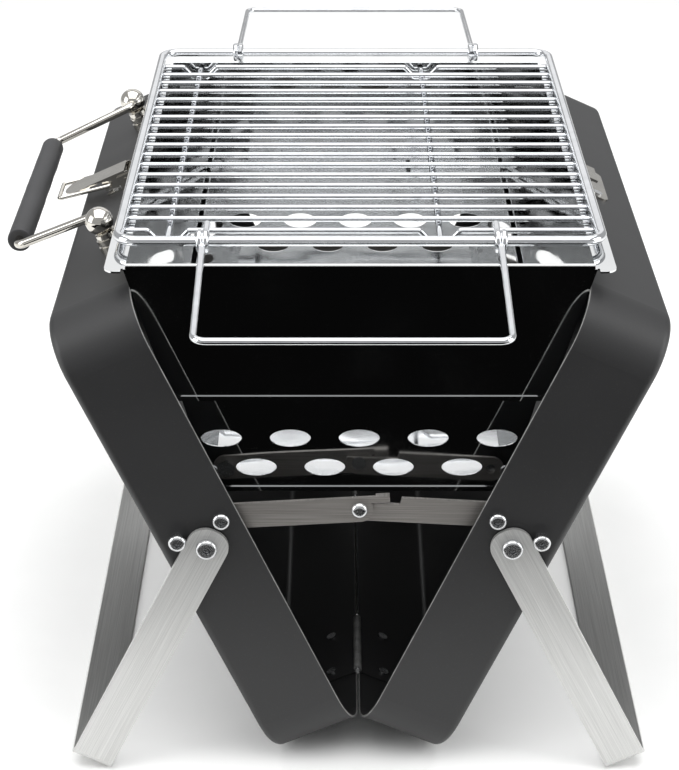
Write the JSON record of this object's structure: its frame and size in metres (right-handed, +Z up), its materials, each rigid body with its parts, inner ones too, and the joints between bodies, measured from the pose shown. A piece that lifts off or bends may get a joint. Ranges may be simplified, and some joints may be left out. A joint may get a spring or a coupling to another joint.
{
  "type": "folding camp grill",
  "caption": "Portable charcoal grill: two hinged steel case halves open into a V on folding legs and hold a sheet metal firebox with a wire grate.",
  "frame": {"origin": "centre of the bounding box's footprint, on the ground that the opened legs stand on", "axes": "+Z up, +Y along the hinge from the front to the back, +X to the right, away from the half with the carry handle"},
  "size_m": [0.3918, 0.6358, 0.3352],
  "materials": {
    "powder_coat": "matt black powder coat",
    "brushed_stainless": "brushed stainless steel strap",
    "mirror_stainless": "mirror polished stainless sheet",
    "chrome_wire": "bright chromed wire",
    "nickel": "nickel plated turned steel",
    "zinc_screw": "bright zinc plated fastener",
    "zinc_plate": "zinc plated pressed steel",
    "foam": "dense black foam grip"
  },
  "bodies": {
    "left_case": {"left_case_half": "powder_coat", "front_hinge_leaf_left": "powder_coat", "back_hinge_leaf_left": "powder_coat", "front_hinge_pin": "zinc_screw", "back_hinge_pin": "zinc_screw", "left_leg_washers": "zinc_screw", "left_leg_pivot_screws": "zinc_screw", "left_leg_pivot_nuts": "zinc_screw", "left_leg_stop_screws": "zinc_screw", "left_leg_stop_nuts": "zinc_screw", "left_stay_pivot_screws": "zinc_screw", "left_stay_pivot_nuts": "zinc_screw", "left_hinge_rivets": "zinc_screw", "handle_posts": "nickel", "handle_post_nuts": "zinc_screw", "latch_base": "zinc_plate", "latch_pin": "zinc_screw", "latch_rivets": "zinc_screw"},
    "right_case": {"right_case_half": "powder_coat", "front_hinge_leaf_right": "powder_coat", "back_hinge_leaf_right": "powder_coat", "right_leg_washers": "zinc_screw", "right_leg_pivot_screws": "zinc_screw", "right_leg_pivot_nuts": "zinc_screw", "right_leg_stop_screws": "zinc_screw", "right_leg_stop_nuts": "zinc_screw", "right_stay_pivot_screws": "zinc_screw", "right_hinge_rivets": "zinc_screw", "catch_plate": "zinc_plate", "catch_rivets": "zinc_screw"},
    "left_leg": {"left_leg": "brushed_stainless"},
    "right_leg": {"right_leg": "brushed_stainless"},
    "front_stay_left": {"front_stay_link_left": "brushed_stainless", "front_stay_rivet": "zinc_screw"},
    "front_stay_right": {"front_stay_link_right": "brushed_stainless"},
    "back_stay_left": {"back_stay_link_left": "brushed_stainless", "back_stay_rivet": "zinc_screw"},
    "back_stay_right": {"back_stay_link_right": "brushed_stainless"},
    "firebox": {"firebox_front_wall": "mirror_stainless", "firebox_back_wall": "mirror_stainless", "firebox_left_wall": "mirror_stainless", "firebox_right_wall": "mirror_stainless"},
    "charcoal_pan": {"charcoal_pan_bottom": "mirror_stainless", "charcoal_pan_front_wall": "mirror_stainless", "charcoal_pan_back_wall": "mirror_stainless", "charcoal_pan_rivets": "zinc_screw"},
    "grate": {"grate_frame": "chrome_wire", "grate_cross_wires": "chrome_wire", "grate_long_rods": "chrome_wire"},
    "front_grate_handle": {"front_grate_handle": "chrome_wire"},
    "back_grate_handle": {"back_grate_handle": "chrome_wire"},
    "carry_handle": {"handle_rod": "nickel", "handle_grip": "foam"},
    "latch_lever": {"latch_lever": "zinc_plate"},
    "latch_bail": {"latch_bail": "zinc_screw"}
  },
  "joints": [
    {"name": "case_fold", "type": "hinge", "parent": "left_case", "child": "right_case", "pos_m": [0.01854, -0.0176, 0.02634], "axis": [0, -1, 0], "range_deg": [0, 48.6]},
    {"name": "firebox_lift", "type": "slide", "parent": "left_case", "child": "firebox", "axis": [-0.2756, 0, 0.9613], "range_m": [0, 0.5518]},
    {"name": "charcoal_pan_lift", "type": "slide", "parent": "firebox", "child": "charcoal_pan", "axis": [0, 0, 1], "range_m": [0, 0.06]},
    {"name": "grate_lift", "type": "slide", "parent": "firebox", "child": "grate", "axis": [0, 0, 1], "range_m": [0, 0.25]},
    {"name": "front_grate_handle_swing", "type": "hinge", "parent": "grate", "child": "front_grate_handle", "pos_m": [0.01854, -0.1859, 0.32816], "axis": [-1, 0, 0], "range_deg": [0, 100]},
    {"name": "back_grate_handle_swing", "type": "hinge", "parent": "grate", "child": "back_grate_handle", "pos_m": [0.01854, 0.1859, 0.32816], "axis": [1, 0, 0], "range_deg": [-80, 30]},
    {"name": "left_leg_fold", "type": "hinge", "parent": "left_case", "child": "left_leg", "pos_m": [-0.07064, -0.0176, 0.15582], "axis": [0, -1, 0], "range_deg": [0, 50.9]},
    {"name": "right_leg_fold", "type": "hinge", "parent": "right_case", "child": "right_leg", "pos_m": [0.10772, -0.0176, 0.15582], "axis": [0, 1, 0], "range_deg": [0, 50.9]},
    {"name": "carry_handle_swing", "type": "hinge", "parent": "left_case", "child": "carry_handle", "pos_m": [-0.13589, -0.0176, 0.32001], "axis": [0, 1, 0], "range_deg": [-25, 110]},
    {"name": "latch_lever_swing", "type": "hinge", "parent": "left_case", "child": "latch_lever", "pos_m": [-0.12963, -0.0176, 0.30857], "axis": [0, 1, 0], "range_deg": [0, 100]},
    {"name": "latch_bail_swing", "type": "hinge", "parent": "latch_lever", "child": "latch_bail", "pos_m": [-0.14006, -0.0176, 0.30496], "axis": [0, -1, 0], "range_deg": [-120, 0]},
    {"name": "front_stay_left_turn", "type": "hinge", "parent": "left_case", "child": "front_stay_left", "pos_m": [-0.06183, -0.2176, 0.17252], "axis": [0, -1, 0], "range_deg": [0, 101.64]},
    {"name": "front_stay_middle_turn", "type": "hinge", "parent": "front_stay_left", "child": "front_stay_right", "pos_m": [0.01854, -0.2176, 0.17722], "axis": [0, -1, 0], "range_deg": [-154.63, 0]},
    {"name": "back_stay_left_turn", "type": "hinge", "parent": "left_case", "child": "back_stay_left", "pos_m": [-0.06183, 0.1824, 0.17252], "axis": [0, -1, 0], "range_deg": [0, 101.64]},
    {"name": "back_stay_middle_turn", "type": "hinge", "parent": "back_stay_left", "child": "back_stay_right", "pos_m": [0.01854, 0.1824, 0.17722], "axis": [0, -1, 0], "range_deg": [-154.63, 0]}
  ],
  "couplings": [
    {"joint": "firebox_lift", "follows": "case_fold", "m_per_rad": 0.65},
    {"joint": "front_stay_left_turn", "follows": "case_fold", "ratio": 2.0903},
    {"joint": "front_stay_middle_turn", "follows": "case_fold", "ratio": -3.1806},
    {"joint": "back_stay_left_turn", "follows": "case_fold", "ratio": 2.0903},
    {"joint": "back_stay_middle_turn", "follows": "case_fold", "ratio": -3.1806}
  ]
}
